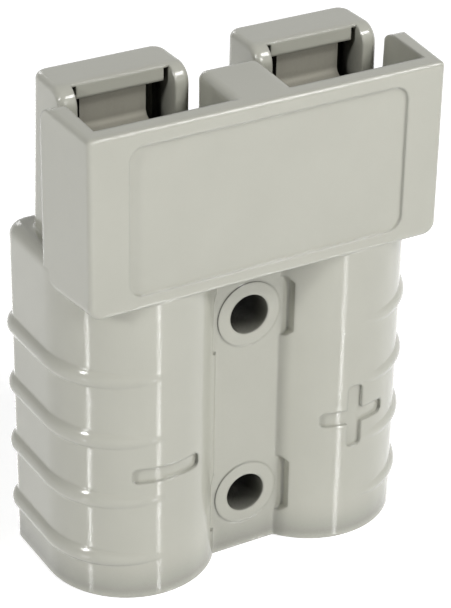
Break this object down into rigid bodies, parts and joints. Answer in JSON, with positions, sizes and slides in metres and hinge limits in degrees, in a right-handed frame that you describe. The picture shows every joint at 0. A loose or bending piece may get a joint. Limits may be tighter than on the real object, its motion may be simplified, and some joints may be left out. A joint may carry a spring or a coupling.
{
  "type": "genderless power connector",
  "caption": "Genderless power connector with twin barrels, shrouded mating end, through-bolted web and sprung tongue contacts for crimped cables.",
  "frame": {"origin": "centre of the bounding box at the flat cable end", "axes": "+Z from the cable end towards the mating end, +X towards the pole marked plus, -Y out of the label panel"},
  "size_m": [0.0368, 0.0164, 0.0479],
  "materials": {
    "grey_plastic": "satin moulded polycarbonate",
    "silver_plate": "silver-plated copper, satin",
    "spring_steel": "stainless strip, bright"
  },
  "bodies": {
    "root": {"housing": "grey_plastic", "contact_negative": "silver_plate", "contact_positive": "silver_plate", "spring_negative": "spring_steel", "spring_positive": "spring_steel"}
  },
  "joints": []
}
